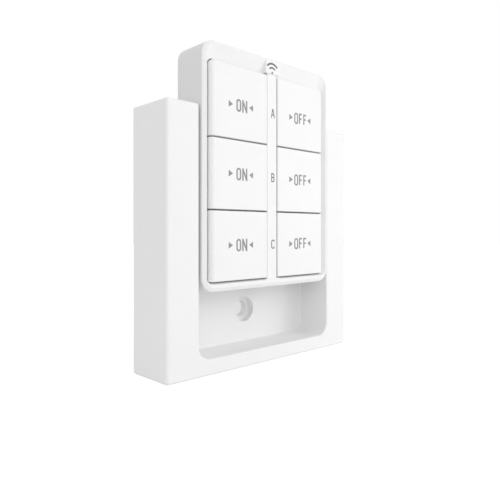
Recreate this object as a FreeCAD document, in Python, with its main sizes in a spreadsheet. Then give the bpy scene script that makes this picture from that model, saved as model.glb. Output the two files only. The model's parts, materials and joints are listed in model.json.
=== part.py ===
import FreeCAD, Part
import math
import os
import Sketcher

# Wireless remote wall switch: a six-key remote control that slides down into a square wall holder.
# Frame: millimetres, +X to the right seen from the front, +Y into the wall, +Z up.
# Origin: centre of the holder's back face, on the wall plane.
# Every sketch lies parallel to the wall. Its offset is a distance forward (-Y) from the rear face
# of the holder, or from the rear face of the remote for the remote's pieces.

V = FreeCAD.Vector
NEAR = 0.01
doc = FreeCAD.newDocument("wall_switch_remote")

# Driving dimensions

SIZES = [
    ("holder_width", 86, "outer width of the wall holder"),
    ("holder_height", 86, "outer height of the wall holder"),
    ("holder_depth", 19.2, "how far the holder stands off the wall"),
    ("holder_floor", 5.3, "height of the bottom bar that the remote stands on"),
    ("holder_plate", 5.0, "thickness of the back plate"),
    ("holder_skin", 2.2, "moulded wall round the hollows behind the side walls"),
    ("holder_rib", 1.8, "ribs between the hollows"),
    ("holder_hollows", 4, "hollows behind each side wall"),
    ("holder_relief", 2.4, "depth of the shallow hollows in the rear of the back plate"),
    ("holder_band", 24, "flat band between the shallow hollows, for screws or tape"),
    ("holder_outer_edge", 0.9, "rounding of the outer edges"),
    ("holder_mouth_edge", 0.5, "rounding of the edge round the pocket"),
    ("pocket_clearance", 0.6, "gap between the remote's sides and the pocket's"),
    ("pocket_corner", 4.75, "corner radius of the pocket, seen from the front"),
    ("pocket_fillet", 0.8, "fillet between back plate and pocket walls"),
    ("hole_spacing", 52, "distance between the two wall screw holes"),
    ("hole_bore", 5.8, "screw hole diameter"),
    ("hole_counterbore", 9.3, "screw head recess diameter"),
    ("hole_counterbore_depth", 2.2, "screw head recess depth"),
    ("tongue_neck", 6, "width of the tongue's neck"),
    ("tongue_head", 11, "width of the tongue's head"),
    ("tongue_head_depth", 1.2, "thickness of the tongue's head"),
    ("tongue_height", 12, "height of the tongue"),
    ("tongue_lead", 0.6, "lead-in chamfer on the tongue's top"),
    ("slide_clearance", 0.3, "gap between tongue and slot"),
    ("seat_clearance", 0.5, "gap under the remote when it is pushed right down"),
    ("remote_width", 61, "width of the remote"),
    ("remote_height", 80.1, "height of the remote"),
    ("remote_depth", 14.6, "thickness of the remote at the crest of its rim"),
    ("remote_corner", 4.75, "corner radius of the remote"),
    ("remote_lift", 21.35, "height of the remote's foot over the pocket's floor, as shown"),
    ("remote_rear_gap", 0.8, "gap between the remote and the back plate"),
    ("rear_edge", 1.2, "rounding of the remote's rear edge"),
    ("front_edge", 0.4, "rounding of the remote's front edge"),
    ("parting", 2.3, "from the rear face to the seam of the two case halves"),
    ("seam_bevel", 0.25, "bevel on each side of the seam"),
    ("case_wall", 1.8, "wall of the front cover"),
    ("rear_skin", 1.6, "thickness of the rear cover"),
    ("lip_wall", 1.2, "wall of the rear cover's locating lip"),
    ("lip_height", 2.4, "height of the locating lip over the rear skin"),
    ("lip_clearance", 0.2, "gap between lip and front cover"),
    ("slot_lip", 1.4, "thickness of the lips that the tongue hooks behind"),
    ("slot_wall", 1.0, "wall round the tongue's channel"),
    ("channel_below_cap", 8, "from the battery cap's recess down to the channel's end"),
    ("rim", 1.45, "width of the rim round the key field"),
    ("rim_bevel", 1.2, "width of the rim's outer bevel"),
    ("rim_bevel_rise", 0.7, "rise of the bevel from the sides to the rim's crest"),
    ("rim_slope", 1.3, "inward slope of the rim's inner sides"),
    ("rim_foot_slope", 0.35, "inward slope of the bottom rim's inner side"),
    ("rim_foot", 2.75, "height of the bottom rim"),
    ("well_depth", 3.9, "depth of the key wells"),
    ("deck", 1.2, "thickness of the deck under the keys"),
    ("strip_width", 4.4, "width of the centre strip"),
    ("strip_sink", 0.5, "how far the strip lies under the rim's crest"),
    ("tab_width", 6.4, "width of the tab between the two scoops, at the strip's top"),
    ("scoop_height", 4.85, "height of the sloped scoop over the keys"),
    ("scoop_depth", 1.9, "depth of the scoop at its lower end"),
    ("top_rim", 0.5, "height of the rim above the scoop"),
    ("well_top_corner", 4.0, "upper corner radius of the key field"),
    ("well_foot_corner", 1.8, "lower corner radius of the key field"),
    ("top_key_extra", 1.49, "how much further the top keys reach than the others"),
    ("key_gap", 0.5, "gap between keys of one column"),
    ("key_top_gap", 0.3, "gap between the top keys and the scoop"),
    ("key_side_gap", 0.5, "gap between the keys and the rim"),
    ("key_strip_gap", 0.4, "gap between the keys and the strip"),
    ("key_foot_gap", 0.4, "gap under the lowest keys"),
    ("key_sink", 0.1, "how far the key faces lie under the rim's crest"),
    ("key_travel", 0.5, "press travel of a key"),
    ("key_stop_gap", 0.7, "gap between a key's skirt and the deck"),
    ("key_skin", 1.2, "thickness of a key's face"),
    ("key_skirt", 1.0, "wall of a key's skirt"),
    ("key_roll", 1.4, "rounding of the keys' outer and uppermost edges"),
    ("key_edge", 0.35, "rounding of the keys' other edges"),
    ("post_diameter", 3.6, "post under each key"),
    ("post_hole", 5.2, "hole in the deck for the post"),
    ("hook_inset", 2.0, "from a key's sides to the middle of its snap hooks"),
    ("hook_width", 3, "width of a snap hook"),
    ("hook_thickness", 1.0, "thickness of a snap hook's arm"),
    ("hook_barb", 0.5, "how far the hook catches behind the deck"),
    ("hook_head", 0.6, "height of the hook's barb"),
    ("hook_play", 0.2, "gap between barb and deck"),
    ("slot_play", 0.4, "gap round a hook in its slot"),
    ("switch_side", 6, "side of a push switch"),
    ("switch_height", 2.6, "height of a push switch over the board"),
    ("switch_corner", 0.5, "corner bevel of a push switch"),
    ("plunger_diameter", 3.4, "plunger of a push switch"),
    ("plunger_length", 1.8, "length of a plunger"),
    ("plunger_proud", 0.8, "how far a plunger stands out of its switch"),
    ("plunger_play", 0.1, "gap round a plunger"),
    ("plunger_bevel", 0.2, "bevel of a plunger's tip"),
    ("board_thickness", 1.0, "circuit board thickness"),
    ("plunger_room", 0.1, "gap behind a plunger that is pressed right in"),
    ("board_play", 0.5, "gap between the board and the front cover"),
    ("board_rear", 5.3, "from the remote's rear face to the board"),
    ("boss_inset", 7, "from the case's sides to the middle of a screw boss"),
    ("boss_wide", 7.4, "screw boss diameter that the board rests on"),
    ("boss_slim", 4.6, "screw boss diameter that passes the board"),
    ("boss_play", 0.2, "gap round the slim boss"),
    ("boss_end_gap", 0.1, "gap over the slim boss"),
    ("screw_head", 3.8, "case screw head diameter"),
    ("screw_head_height", 1.1, "case screw head height"),
    ("screw_head_edge", 0.4, "rounding of a case screw's head"),
    ("screw_sink", 0.1, "how far a screw head lies under the rear face"),
    ("screw_shank", 2.0, "case screw shank diameter"),
    ("screw_length", 7, "case screw shank length"),
    ("screw_play", 0.05, "gap round a screw in its pilot hole"),
    ("pilot_spare", 0.7, "depth of a pilot hole past the screw's tip"),
    ("screw_hole_play", 0.1, "gap round a screw in the rear cover"),
    ("screw_seat", 1.4, "thickness of the rear cover under a screw head"),
    ("screw_recess", 0.2, "gap round a screw head"),
    ("cell_diameter", 20, "coin cell diameter"),
    ("cell_height", 3.2, "coin cell thickness"),
    ("cell_rear", 1.3, "from the remote's rear face to the cell"),
    ("cell_drop", 22.1, "from the remote's top down to the cell's middle"),
    ("cell_play", 0.25, "gap round the cell in its holder"),
    ("cell_edge", 0.4, "bevel of the cell's can"),
    ("cell_step", 0.4, "height of the cell's insulated step"),
    ("cell_step_width", 1.2, "width of the cell's insulated step"),
    ("holder_ring_wall", 1.3, "wall of the cell holder"),
    ("ring_gap", 0.4, "gap between the cell holder and the cap"),
    ("holder_mouth", 6, "width of the opening in the cell holder"),
    ("cap_diameter", 26.4, "battery cap diameter"),
    ("cap_skin", 0.9, "thickness of the battery cap"),
    ("cap_play", 0.3, "gap round the battery cap"),
    ("cap_ring", 23.4, "outer diameter of the cap's ring"),
    ("cap_ring_wall", 1.1, "wall of the cap's ring"),
    ("cap_ring_height", 1.5, "height of the cap's ring"),
    ("cap_lug", 1.1, "how far a bayonet lug reaches out"),
    ("cap_lug_height", 0.6, "height of a bayonet lug"),
    ("cap_lug_width", 7, "width of a bayonet lug"),
    ("cap_edge", 0.25, "bevel of the cap's edge"),
    ("coin_slot_length", 14, "length of the slot in the battery cap"),
    ("coin_slot_width", 1.8, "width of the slot in the battery cap"),
    ("coin_slot_depth", 0.5, "depth of the slot in the battery cap"),
    ("coin_slot_corner", 0.85, "rounding of the slot's ends"),
    ("contact_width", 4, "width of the battery contacts"),
    ("contact_thickness", 0.2, "thickness of the battery contacts"),
    ("contact_span", 9, "length of the arched contact"),
    ("contact_foot", 2.5, "length of a contact's foot on the board"),
    ("contact_gap", 0.05, "gap between the upright contact and the cell"),
    ("chip_width", 3.9, "encoder chip body width"),
    ("chip_length", 9.9, "encoder chip body length"),
    ("chip_height", 1.5, "encoder chip height over the board"),
    ("chip_up", 26.2, "height of the chip's middle over the remote's foot"),
    ("chip_leads", 8, "leads on each side of the chip"),
    ("chip_lead_pitch", 1.2, "distance between leads"),
    ("chip_lead_width", 0.5, "width of a lead"),
    ("chip_lead_reach", 1.1, "how far a lead stands out"),
    ("chip_lead_height", 0.4, "height of a lead"),
    ("can_width", 10, "transmitter can width"),
    ("can_length", 9, "transmitter can length"),
    ("can_height", 2.0, "transmitter can height"),
    ("can_edge", 0.4, "rounding of the can"),
    ("can_drop", 11.1, "from the remote's top down to the can's middle"),
    ("crystal_length", 9, "crystal length"),
    ("crystal_width", 3.6, "crystal width"),
    ("crystal_height", 2.2, "crystal height"),
    ("crystal_corner", 1.6, "rounding of the crystal's ends"),
    ("crystal_drop", 30.5, "from the remote's top down to the crystal's middle"),
    ("antenna_wire", 0.8, "antenna wire diameter"),
    ("antenna_span", 18, "width of the wire loop"),
    ("antenna_rise", 2.0, "how far the wire loop stands off the board"),
    ("antenna_bend", 0.9, "bend radius of the wire loop"),
    ("antenna_drop", 4.9, "from the remote's top down to the wire loop"),
    ("cut_margin", 1, "how far a cut runs past an open side"),
]

sheet = doc.addObject("Spreadsheet::Sheet", "Sizes")
for row, (alias, number, meaning) in enumerate(SIZES, start=1):
    sheet.set("A%d" % row, meaning)
    sheet.set("B%d" % row, str(number))
    sheet.setAlias("B%d" % row, alias)
doc.recompute()

ALIASES = sorted((alias for alias, number, meaning in SIZES), key=len, reverse=True)


def size(expression):
    """Turn plain size names into the sheet's cells, as an expression."""
    words = expression.replace("(", " ( ").replace(")", " ) ").split()
    return " ".join("Sizes." + word if word in ALIASES else word for word in words)


def value(expression):
    """The number that an expression of size names gives."""
    return float(sheet.evalExpression(size(expression)))


def bind(thing, prop, expression):
    """Tie one property to an expression of size names."""
    thing.setExpression(prop, size(expression))


# Places that several pieces share, as expressions of the sizes

POCKET_HALF = "( remote_width / 2 + pocket_clearance )"
POCKET_FLOOR = "( holder_floor - holder_height / 2 )"
REMOTE_Y = "- ( holder_plate + remote_rear_gap )"
REMOTE_Z = "( " + POCKET_FLOOR + " + remote_lift )"
BOARD_FRONT = "( board_rear + board_thickness )"
DECK_FRONT = "( remote_depth - well_depth )"
DECK_REAR = "( remote_depth - well_depth - deck )"
WELL_TOP = "( remote_height - top_rim - scoop_height )"
WELL_SIDE = "( remote_width / 2 - rim - rim_slope )"
KEY_OUTER = "( " + WELL_SIDE + " - key_side_gap )"
KEY_INNER = "( strip_width / 2 + key_strip_gap )"
KEY_MIDDLE = "( ( " + KEY_OUTER + " + " + KEY_INNER + " ) / 2 )"
HOOK_REACH = "( ( " + KEY_OUTER + " - " + KEY_INNER + " ) / 2 - hook_inset )"
KEY_FOOT = "( rim_foot + key_foot_gap )"
KEY_PITCH = "( ( " + WELL_TOP + " - " + KEY_FOOT + " - top_key_extra ) / 3 )"
KEY_FRONT = "( remote_depth - key_sink )"
KEY_REAR = "( " + DECK_FRONT + " + key_stop_gap )"
PLUNGER_TIP = "( " + BOARD_FRONT + " + switch_height + plunger_proud )"
LIP_OUTER = "( case_wall + lip_clearance )"
LIP_INNER = "( case_wall + lip_clearance + lip_wall )"
BOSS_X = "( remote_width / 2 - boss_inset )"
BOSS_TOP = "( remote_height - boss_inset )"
SCREW_SEAT = "( screw_sink + screw_head_height )"
BOSS_END = "( " + SCREW_SEAT + " + screw_seat )"
CHANNEL_FRONT = "( slot_lip + tongue_head_depth + 2 * slide_clearance )"
CELL_UP = "( remote_height - cell_drop )"
CHANNEL_TOP = "( " + CELL_UP + " - cap_diameter / 2 - cap_play - channel_below_cap )"
TONGUE_TOP = "( " + POCKET_FLOOR + " + " + CHANNEL_TOP + " + seat_clearance - slide_clearance )"
CHANNEL_HALF = "( tongue_head / 2 + slide_clearance )"

ROWS = ["c", "b", "a"]
COLUMNS = [("on", -1), ("off", 1)]


def row_middle(row):
    """Height of a key row's middle over the remote's foot. Row 0 is the lowest."""
    return "( %s + %s * %g - key_gap / 2 )" % (KEY_FOOT, KEY_PITCH, row + 0.5)


# Sketch and feature helpers

def new_body(name, on_remote=True):
    """A body in the holder's frame, or in the remote's: its rear face and its foot."""
    body = doc.addObject("PartDesign::Body", name)
    body.Label = name
    if on_remote:
        bind(body, "Placement.Base.y", REMOTE_Y)
        bind(body, "Placement.Base.z", REMOTE_Z)
    return body


def origin_plane(body, role):
    """One of the body's own origin planes."""
    return [item for item in body.Origin.OriginFeatures if item.Role == role][0]


def new_sketch(body, name, forward="0", up="0", role="XZ_Plane"):
    """A sketch parallel to the wall, a distance forward of the body's rear plane."""
    sketch = body.newObject("Sketcher::SketchObject", body.Name + "_" + name)
    sketch.AttachmentSupport = [(origin_plane(body, role), "")]
    sketch.MapMode = "FlatFace"
    bind(sketch, "AttachmentOffset.Base.z", forward)
    bind(sketch, "AttachmentOffset.Base.y", up)
    return sketch


def drive(sketch, kind, geometry, point, expression):
    """Tie one coordinate of a sketch point to an expression."""
    number = value(expression)
    index = sketch.addConstraint(Sketcher.Constraint(kind, -1, 1, geometry, point, number))
    sketch.setExpression("Constraints[%d]" % index, size(expression))


def rectangle(sketch, left, foot, right, top):
    """Four lines between two opposite corners."""
    x1, z1, x2, z2 = [value(item) for item in (left, foot, right, top)]
    corners = [V(x1, z1, 0), V(x2, z1, 0), V(x2, z2, 0), V(x1, z2, 0)]
    first = sketch.GeometryCount
    for i in range(4):
        sketch.addGeometry(Part.LineSegment(corners[i], corners[(i + 1) % 4]), False)
    for i in range(4):
        sketch.addConstraint(Sketcher.Constraint("Coincident", first + i, 2, first + (i + 1) % 4, 1))
    for i, direction in enumerate(["Horizontal", "Vertical", "Horizontal", "Vertical"]):
        sketch.addConstraint(Sketcher.Constraint(direction, first + i))
    drive(sketch, "DistanceX", first, 1, left)
    drive(sketch, "DistanceY", first, 1, foot)
    drive(sketch, "DistanceX", first + 2, 1, right)
    drive(sketch, "DistanceY", first + 2, 1, top)


def rounded_rectangle(sketch, left, foot, right, top, radii):
    """A rectangle with an arc at each corner. Radii go foot left, foot right, top right, top left."""
    x1, z1, x2, z2 = [value(item) for item in (left, foot, right, top)]
    r = [value(item) for item in radii]
    middles = [V(x1 + r[0], z1 + r[0], 0), V(x2 - r[1], z1 + r[1], 0),
               V(x2 - r[2], z2 - r[2], 0), V(x1 + r[3], z2 - r[3], 0)]
    lines = [(V(x1 + r[0], z1, 0), V(x2 - r[1], z1, 0)), (V(x2, z1 + r[1], 0), V(x2, z2 - r[2], 0)),
             (V(x2 - r[2], z2, 0), V(x1 + r[3], z2, 0)), (V(x1, z2 - r[3], 0), V(x1, z1 + r[0], 0))]
    first = sketch.GeometryCount
    quarter = math.pi / 2
    for i in range(4):
        sketch.addGeometry(Part.LineSegment(lines[i][0], lines[i][1]), False)
        corner = (i + 1) % 4
        circle = Part.Circle(middles[corner], V(0, 0, 1), r[corner])
        start = quarter * (i - 1)
        sketch.addGeometry(Part.ArcOfCircle(circle, start, start + quarter), False)
    for i in range(4):
        line = first + 2 * i
        arc = line + 1
        following = first + (2 * i + 2) % 8
        sketch.addConstraint(Sketcher.Constraint("Tangent", line, 2, arc, 1))
        sketch.addConstraint(Sketcher.Constraint("Tangent", arc, 2, following, 1))
        sketch.addConstraint(Sketcher.Constraint("Horizontal" if i % 2 == 0 else "Vertical", line))
        index = sketch.addConstraint(Sketcher.Constraint("Radius", arc, r[(i + 1) % 4]))
        sketch.setExpression("Constraints[%d]" % index, size(radii[(i + 1) % 4]))
    drive(sketch, "DistanceY", first, 1, foot)
    drive(sketch, "DistanceX", first + 2, 1, right)
    drive(sketch, "DistanceY", first + 4, 1, top)
    drive(sketch, "DistanceX", first + 6, 1, left)


def polygon(sketch, points):
    """Straight lines from point to point and back to the first."""
    places = [V(value(x), value(z), 0) for x, z in points]
    first = sketch.GeometryCount
    count = len(places)
    for i in range(count):
        sketch.addGeometry(Part.LineSegment(places[i], places[(i + 1) % count]), False)
    for i in range(count):
        sketch.addConstraint(Sketcher.Constraint("Coincident", first + i, 2, first + (i + 1) % count, 1))
    for i, (x, z) in enumerate(points):
        drive(sketch, "DistanceX", first + i, 1, x)
        drive(sketch, "DistanceY", first + i, 1, z)


def circle(sketch, x, z, diameter):
    """A circle by its middle and its diameter."""
    middle = V(value(x), value(z), 0)
    index = sketch.addGeometry(Part.Circle(middle, V(0, 0, 1), value(diameter) / 2), False)
    drive(sketch, "DistanceX", index, 3, x)
    drive(sketch, "DistanceY", index, 3, z)
    constraint = sketch.addConstraint(Sketcher.Constraint("Diameter", index, value(diameter)))
    sketch.setExpression("Constraints[%d]" % constraint, size(diameter))


def extrude(body, kind, sketch, length, forward):
    """Pad or pocket a sketch by a length, forward (-Y) or back (+Y), and check the volume."""
    before = body.Shape.Volume if body.Tip else 0.0
    feature = body.newObject("PartDesign::" + kind, sketch.Name + "_" + kind.lower())
    feature.Profile = sketch
    bind(feature, "Length", length)
    feature.Reversed = (kind == "Pad") != forward
    sketch.Visibility = False
    doc.recompute()
    gained = feature.Shape.Volume - before
    if (gained > 0) != (kind == "Pad") or abs(gained) < NEAR:
        raise ValueError("%s changed the volume by %g" % (feature.Name, gained))
    return feature


def pad(body, sketch, length, forward=True):
    return extrude(body, "Pad", sketch, length, forward)


def pocket(body, sketch, length, forward=False):
    return extrude(body, "Pocket", sketch, length, forward)


def soften(body, name, radius, chosen, kind="Fillet"):
    """Round or bevel the edges of the body that a test picks out."""
    base = body.Tip
    names = ["Edge%d" % (i + 1) for i, edge in enumerate(base.Shape.Edges) if chosen(edge)]
    if not names:
        raise ValueError("no edge found for " + body.Name + " " + name)
    feature = body.newObject("PartDesign::" + kind, body.Name + "_" + name)
    feature.Base = (base, names)
    bind(feature, "Radius" if kind == "Fillet" else "Size", radius)
    doc.recompute()
    return feature


def repeat_round(body, feature, axis, count=3):
    """Copies of a feature, evenly spaced round an axis."""
    pattern = body.newObject("PartDesign::PolarPattern", feature.Name + "_round")
    pattern.Originals = [feature]
    pattern.Axis = axis
    pattern.Angle = 360
    pattern.Occurrences = count
    body.Tip = pattern
    doc.recompute()
    return pattern


def near(first, second, margin=NEAR):
    return abs(first - second) < margin


def runs_along_y(edge):
    box = edge.BoundBox
    return box.YLength > NEAR and box.XLength < NEAR and box.ZLength < NEAR


def at_forward(edge, forward):
    """True for an edge that lies in one plane parallel to the wall."""
    box = edge.BoundBox
    return near(-box.YMin, forward) and near(-box.YMax, forward)


# Wall holder: one moulding

def make_wall_holder():
    body = new_body("wall_holder", on_remote=False)
    half_x = "holder_width / 2"
    half_z = "holder_height / 2"
    block = new_sketch(body, "block")
    rectangle(block, "- holder_width / 2", "- holder_height / 2", half_x, half_z)
    pad(body, block, "holder_depth")
    soften(body, "corners", "holder_outer_edge", runs_along_y)
    room = new_sketch(body, "room", "holder_depth")
    rectangle(room, "- " + POCKET_HALF, POCKET_FLOOR, POCKET_HALF, half_z + " + cut_margin")
    pocket(body, room, "holder_depth - holder_plate")
    plate = value("holder_plate")
    depth = value("holder_depth")
    side = value(POCKET_HALF)
    floor = value(POCKET_FLOOR)
    soften(body, "room_corners", "pocket_corner",
           lambda edge: runs_along_y(edge) and near(abs(edge.BoundBox.Center.x), side)
           and near(edge.BoundBox.Center.z, floor))
    top = value(half_z)

    def round_room(edge):
        box = edge.BoundBox
        return at_forward(edge, plate) and not (near(box.ZMin, top) and near(box.ZMax, top))

    soften(body, "room_fillet", "pocket_fillet", round_room)
    width = value(half_x)
    rounding = value("holder_outer_edge")

    def outer_rim(edge):
        box = edge.BoundBox
        beside = near(abs(box.Center.x), width, rounding)
        outside = beside or near(abs(box.Center.z), top, rounding)
        return at_forward(edge, depth) and outside

    soften(body, "outer_edge", "holder_outer_edge", outer_rim)

    def mouth_rim(edge):
        box = edge.BoundBox
        inside = box.XMax < side + NEAR and box.XMin > -side - NEAR and box.ZMin > floor - NEAR
        return at_forward(edge, depth) and inside

    soften(body, "mouth_edge", "holder_mouth_edge", mouth_rim)
    add_hollows(body)
    add_screw_holes(body)
    add_tongue(body)
    return body


def add_hollows(body):
    """Hollows that keep the moulding's walls even, open to the rear."""
    count = int(value("holder_hollows"))
    foot = "( - holder_height / 2 + holder_skin )"
    cell = "( ( holder_height - 2 * holder_skin - %d * holder_rib ) / %d )" % (count - 1, count)
    deep = new_sketch(body, "deep_hollows")
    shallow = new_sketch(body, "shallow_hollows")
    inner = "( " + POCKET_HALF + " + holder_skin )"
    outer = "( holder_width / 2 - holder_skin )"
    relief_outer = "( " + POCKET_HALF + " - pocket_fillet )"
    for sign in ("- ", ""):
        for i in range(count):
            low = "%s + %d * ( %s + holder_rib )" % (foot, i, cell)
            high = low + " + " + cell
            edges = sorted([sign + inner, sign + outer], key=value)
            rectangle(deep, edges[0], low, edges[1], high)
            if i == 0:
                low = POCKET_FLOOR + " + pocket_fillet"
            edges = sorted([sign + "holder_band / 2", sign + relief_outer], key=value)
            rectangle(shallow, edges[0], low, edges[1], high)
    pocket(body, deep, "holder_depth - holder_skin", forward=True)
    pocket(body, shallow, "holder_relief", forward=True)


def add_screw_holes(body):
    heads = new_sketch(body, "counterbores", "holder_plate")
    bores = new_sketch(body, "bores", "holder_plate")
    for height in ("- hole_spacing / 2", "hole_spacing / 2"):
        circle(heads, "0", height, "hole_counterbore")
        circle(bores, "0", height, "hole_bore")
    pocket(body, heads, "hole_counterbore_depth")
    pocket(body, bores, "holder_plate + cut_margin")


def add_tongue(body):
    """The T-shaped tongue that the remote slides down over."""
    foot = TONGUE_TOP + " - tongue_height"
    top = TONGUE_TOP
    neck_length = "remote_rear_gap + slot_lip + slide_clearance"
    neck = new_sketch(body, "tongue_neck", "holder_plate")
    rectangle(neck, "- tongue_neck / 2", foot, "tongue_neck / 2", top)
    pad(body, neck, neck_length)
    head = new_sketch(body, "tongue_head", "holder_plate + " + neck_length)
    rectangle(head, "- tongue_head / 2", foot, "tongue_head / 2", top)
    pad(body, head, "tongue_head_depth")
    front = value("holder_plate + tongue_head_depth + " + neck_length)
    height = value(top)
    soften(body, "tongue_lead", "tongue_lead",
           lambda edge: at_forward(edge, front) and near(edge.BoundBox.ZMin, height), "Chamfer")


# Remote: case halves

def case_outline(sketch, inset):
    half = "( remote_width / 2 - %s )" % inset
    corner = "remote_corner - " + inset
    rounded_rectangle(sketch, "- " + half, inset, half, "remote_height - " + inset, [corner] * 4)


def boss_places():
    for x in ("- " + BOSS_X, BOSS_X):
        for z in ("boss_inset", BOSS_TOP):
            yield x, z


def make_front_cover():
    body = new_body("front_cover")
    block = new_sketch(body, "block", "parting")
    case_outline(block, "0")
    pad(body, block, "remote_depth - parting")
    front = value("remote_depth")
    seam = value("parting")
    bevel = soften(body, "rim_bevel", "rim_bevel_rise", lambda edge: at_forward(edge, front), "Chamfer")
    bevel.ChamferType = "Two distances"
    bind(bevel, "Size2", "rim_bevel")
    doc.recompute()
    shoulder = value("remote_depth - rim_bevel_rise")
    soften(body, "front_edge", "front_edge", lambda edge: at_forward(edge, shoulder))
    soften(body, "seam_bevel", "seam_bevel", lambda edge: at_forward(edge, seam), "Chamfer")
    hollow = new_sketch(body, "hollow", "parting")
    case_outline(hollow, "case_wall")
    pocket(body, hollow, DECK_REAR + " - parting", forward=True)
    for name, sign in COLUMNS:
        cut_key_well(body, name, sign)
    strip = new_sketch(body, "strip", "remote_depth")
    strip_half = "( strip_width / 2 + key_edge )"
    rectangle(strip, "- " + strip_half, "rim_foot", strip_half, WELL_TOP)
    pocket(body, strip, "strip_sink")
    cut_deck(body)
    wide = new_sketch(body, "wide_bosses", DECK_REAR)
    slim = new_sketch(body, "slim_bosses", DECK_REAR)
    pilots = new_sketch(body, "pilot_holes", BOSS_END)
    for x, z in boss_places():
        circle(wide, x, z, "boss_wide")
        circle(slim, x, z, "boss_slim")
        circle(pilots, x, z, "screw_shank + 2 * screw_play")
    pad(body, wide, DECK_REAR + " - " + BOARD_FRONT, forward=False)
    pad(body, slim, DECK_REAR + " - " + BOSS_END + " - boss_end_gap", forward=False)
    pocket(body, pilots, "screw_length - screw_seat + pilot_spare", forward=True)
    notch = new_sketch(body, "channel_notch", CHANNEL_FRONT + " + slot_wall + lip_clearance")
    side = "( " + CHANNEL_HALF + " + slot_wall + lip_clearance )"
    rectangle(notch, "- " + side, "- cut_margin", side, "case_wall + cut_margin")
    pocket(body, notch, CHANNEL_FRONT + " + slot_wall + lip_clearance - parting + cut_margin")
    return body


def cut_key_well(body, name, sign):
    """One column's well: a sloped scoop over the keys, sloping rim sides and a straight deep part."""
    def well(sketch, inner, side, top, foot, top_corner, foot_corner):
        edges = [inner, side]
        radii = ["key_edge", foot_corner, top_corner, "key_edge"]
        if sign < 0:
            edges = ["- " + side, "- " + inner]
            radii = [foot_corner, "key_edge", "key_edge", top_corner]
        rounded_rectangle(sketch, edges[0], foot, edges[1], top, radii)

    mouth = new_sketch(body, name + "_mouth", "remote_depth")
    well(mouth, "tab_width / 2", "( remote_width / 2 - rim )", "( remote_height - top_rim )",
         "rim_foot - rim_foot_slope", "well_top_corner", "well_foot_corner + rim_foot_slope")
    bend = new_sketch(body, name + "_bend", "remote_depth - scoop_depth")
    well(bend, "tab_width / 2", WELL_SIDE, WELL_TOP, "rim_foot",
         "well_top_corner - rim_slope", "well_foot_corner")
    before = body.Shape.Volume
    loft = body.newObject("PartDesign::SubtractiveLoft", body.Name + "_" + name + "_scoop")
    loft.Profile = mouth
    loft.Sections = [bend]
    loft.Ruled = True
    doc.recompute()
    if loft.Shape.Volume >= before:
        raise ValueError("the scoop cut nothing")
    deep = new_sketch(body, name + "_deep", "remote_depth")
    well(deep, "strip_width / 2", WELL_SIDE, WELL_TOP, "rim_foot",
         "well_top_corner - rim_slope", "well_foot_corner")
    pocket(body, deep, "well_depth")


def cut_deck(body):
    """Post holes and hook slots in the deck under the keys."""
    holes = new_sketch(body, "post_holes", DECK_FRONT)
    slots = new_sketch(body, "hook_slots", DECK_FRONT)
    half_height = "( hook_width / 2 + slot_play )"
    for name, sign in COLUMNS:
        middle = ("- " if sign < 0 else "") + KEY_MIDDLE
        for row in range(len(ROWS)):
            height = row_middle(row)
            circle(holes, middle, height, "post_hole")
            for outward in (-1, 1):
                near_side = "( " + HOOK_REACH + " - hook_thickness / 2 - slot_play )"
                far_side = "( " + HOOK_REACH + " + hook_thickness / 2 + hook_barb + slot_play )"
                ends = sorted(["%s + %d * %s" % (middle, outward, near_side),
                               "%s + %d * %s" % (middle, outward, far_side)], key=value)
                rectangle(slots, ends[0], height + " - " + half_height, ends[1],
                          height + " + " + half_height)
    pocket(body, holes, "deck + cut_margin")
    pocket(body, slots, "deck + cut_margin")


def make_rear_cover():
    body = new_body("rear_cover")
    block = new_sketch(body, "block")
    case_outline(block, "0")
    pad(body, block, "parting")
    seam = value("parting")
    soften(body, "rear_edge", "rear_edge", lambda edge: at_forward(edge, 0))
    soften(body, "seam_bevel", "seam_bevel", lambda edge: at_forward(edge, seam), "Chamfer")
    tray = new_sketch(body, "tray", "parting")
    case_outline(tray, "case_wall")
    pocket(body, tray, "parting - rear_skin")
    lip = new_sketch(body, "lip", "rear_skin")
    case_outline(lip, LIP_OUTER)
    case_outline(lip, LIP_INNER)
    pad(body, lip, "lip_height")
    channel = new_sketch(body, "channel_box", "rear_skin")
    side = "( " + CHANNEL_HALF + " + slot_wall )"
    rectangle(channel, "- " + side, "0", side, CHANNEL_TOP + " + slot_wall")
    pad(body, channel, CHANNEL_FRONT + " + slot_wall - rear_skin")
    head = new_sketch(body, "channel", CHANNEL_FRONT)
    rectangle(head, "- " + CHANNEL_HALF, "- cut_margin", CHANNEL_HALF, CHANNEL_TOP)
    pocket(body, head, CHANNEL_FRONT + " - slot_lip")
    neck = new_sketch(body, "channel_neck", "slot_lip")
    neck_half = "( tongue_neck / 2 + slide_clearance )"
    rectangle(neck, "- " + neck_half, "- cut_margin", neck_half, CHANNEL_TOP)
    pocket(body, neck, "slot_lip + cut_margin")
    add_screw_tubes(body)
    cut_battery_hole(body)
    return body


def add_screw_tubes(body):
    tubes = new_sketch(body, "tubes", "rear_skin")
    sockets = new_sketch(body, "sockets", "board_rear")
    heads = new_sketch(body, "screw_recesses", SCREW_SEAT)
    holes = new_sketch(body, "screw_holes", "board_rear")
    for x, z in boss_places():
        circle(tubes, x, z, "boss_wide")
        circle(sockets, x, z, "boss_slim + 2 * boss_play")
        circle(heads, x, z, "screw_head + 2 * screw_recess")
        circle(holes, x, z, "screw_shank + 2 * screw_hole_play")
    pad(body, tubes, "board_rear - rear_skin")
    pocket(body, sockets, "board_rear - " + BOSS_END)
    pocket(body, heads, SCREW_SEAT + " + cut_margin")
    pocket(body, holes, "board_rear + cut_margin")


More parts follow.
